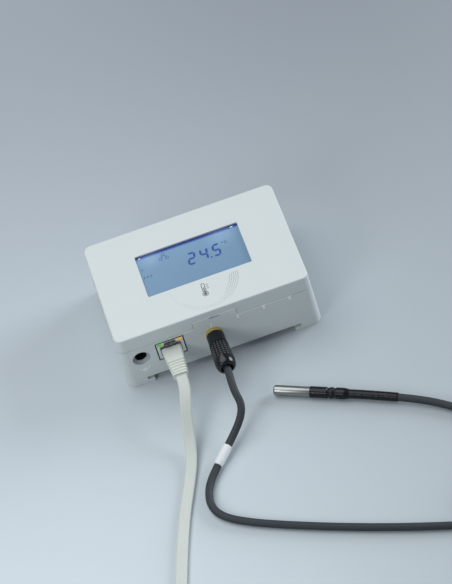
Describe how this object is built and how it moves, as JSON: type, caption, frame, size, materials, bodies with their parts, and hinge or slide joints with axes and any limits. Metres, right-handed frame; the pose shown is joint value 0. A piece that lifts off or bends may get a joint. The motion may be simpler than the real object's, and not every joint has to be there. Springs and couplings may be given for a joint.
{
  "type": "ethernet temperature sensor",
  "caption": "Flat wall box that reports temperature over a network: display window, power and network jacks, a probe socket, a flat network lead and a steel probe on a cable.",
  "frame": {"origin": "middle of the housing's back, where it lies on the surface", "axes": "+X along the face's width, +Y up the face away from the connectors, +Z out of the display"},
  "size_m": [0.2389, 0.3291, 0.039],
  "materials": {
    "housing_white": "satin moulded",
    "display_blue": "gloss",
    "diffuser_white": "satin",
    "frame_black": "satin",
    "board_green": "satin lacquer",
    "chip_black": "matt",
    "plated_steel": "plated",
    "gold_contact": "plated",
    "socket_brass": "satin",
    "light_green": "gloss",
    "light_amber": "gloss",
    "plug_black": "satin",
    "gland_rubber": "matt",
    "cable_black": "satin",
    "marker_white": "satin",
    "shrink_black": "satin",
    "probe_steel": "polished",
    "plug_clear": "gloss",
    "boot_grey": "satin",
    "cable_grey": "satin",
    "tie_black": "satin"
  },
  "bodies": {
    "root": {"front_cover": "housing_white", "rear_base": "housing_white", "display_glass": "display_blue", "display_backlight": "diffuser_white", "display_frame": "frame_black", "header_socket": "frame_black", "header_pins": "frame_black", "network_jack_insert": "frame_black", "power_jack_body": "frame_black", "probe_socket_insert": "frame_black", "probe_plug_insert": "frame_black", "display_board": "board_green", "main_board": "board_green", "processor_chip": "chip_black", "network_chip": "chip_black", "power_inductor": "chip_black", "display_screws": "plated_steel", "board_screws": "plated_steel", "crystal_can": "plated_steel", "filter_capacitors": "plated_steel", "network_jack_shield": "plated_steel", "power_jack_pin": "plated_steel", "network_jack_contacts": "gold_contact", "network_plug_contacts": "gold_contact", "far_plug_contacts": "gold_contact", "probe_socket_pins": "gold_contact", "probe_socket_shell": "socket_brass", "probe_socket_nut": "socket_brass", "link_light": "light_green", "activity_light": "light_amber", "probe_plug_sleeve": "plug_black", "probe_plug_grip": "plug_black", "probe_plug_gland": "gland_rubber", "probe_cable": "cable_black", "probe_cable_coil": "cable_black", "probe_cable_tail": "cable_black", "cable_marker": "marker_white", "probe_sleeve": "shrink_black", "probe_stem": "probe_steel", "network_plug": "plug_clear", "far_network_plug": "plug_clear", "network_plug_boot": "boot_grey", "far_plug_boot": "boot_grey", "network_cable": "cable_grey", "network_cable_coil": "cable_grey", "network_cable_tail": "cable_grey", "probe_cable_tie": "tie_black", "network_cable_tie": "tie_black"}
  },
  "joints": []
}
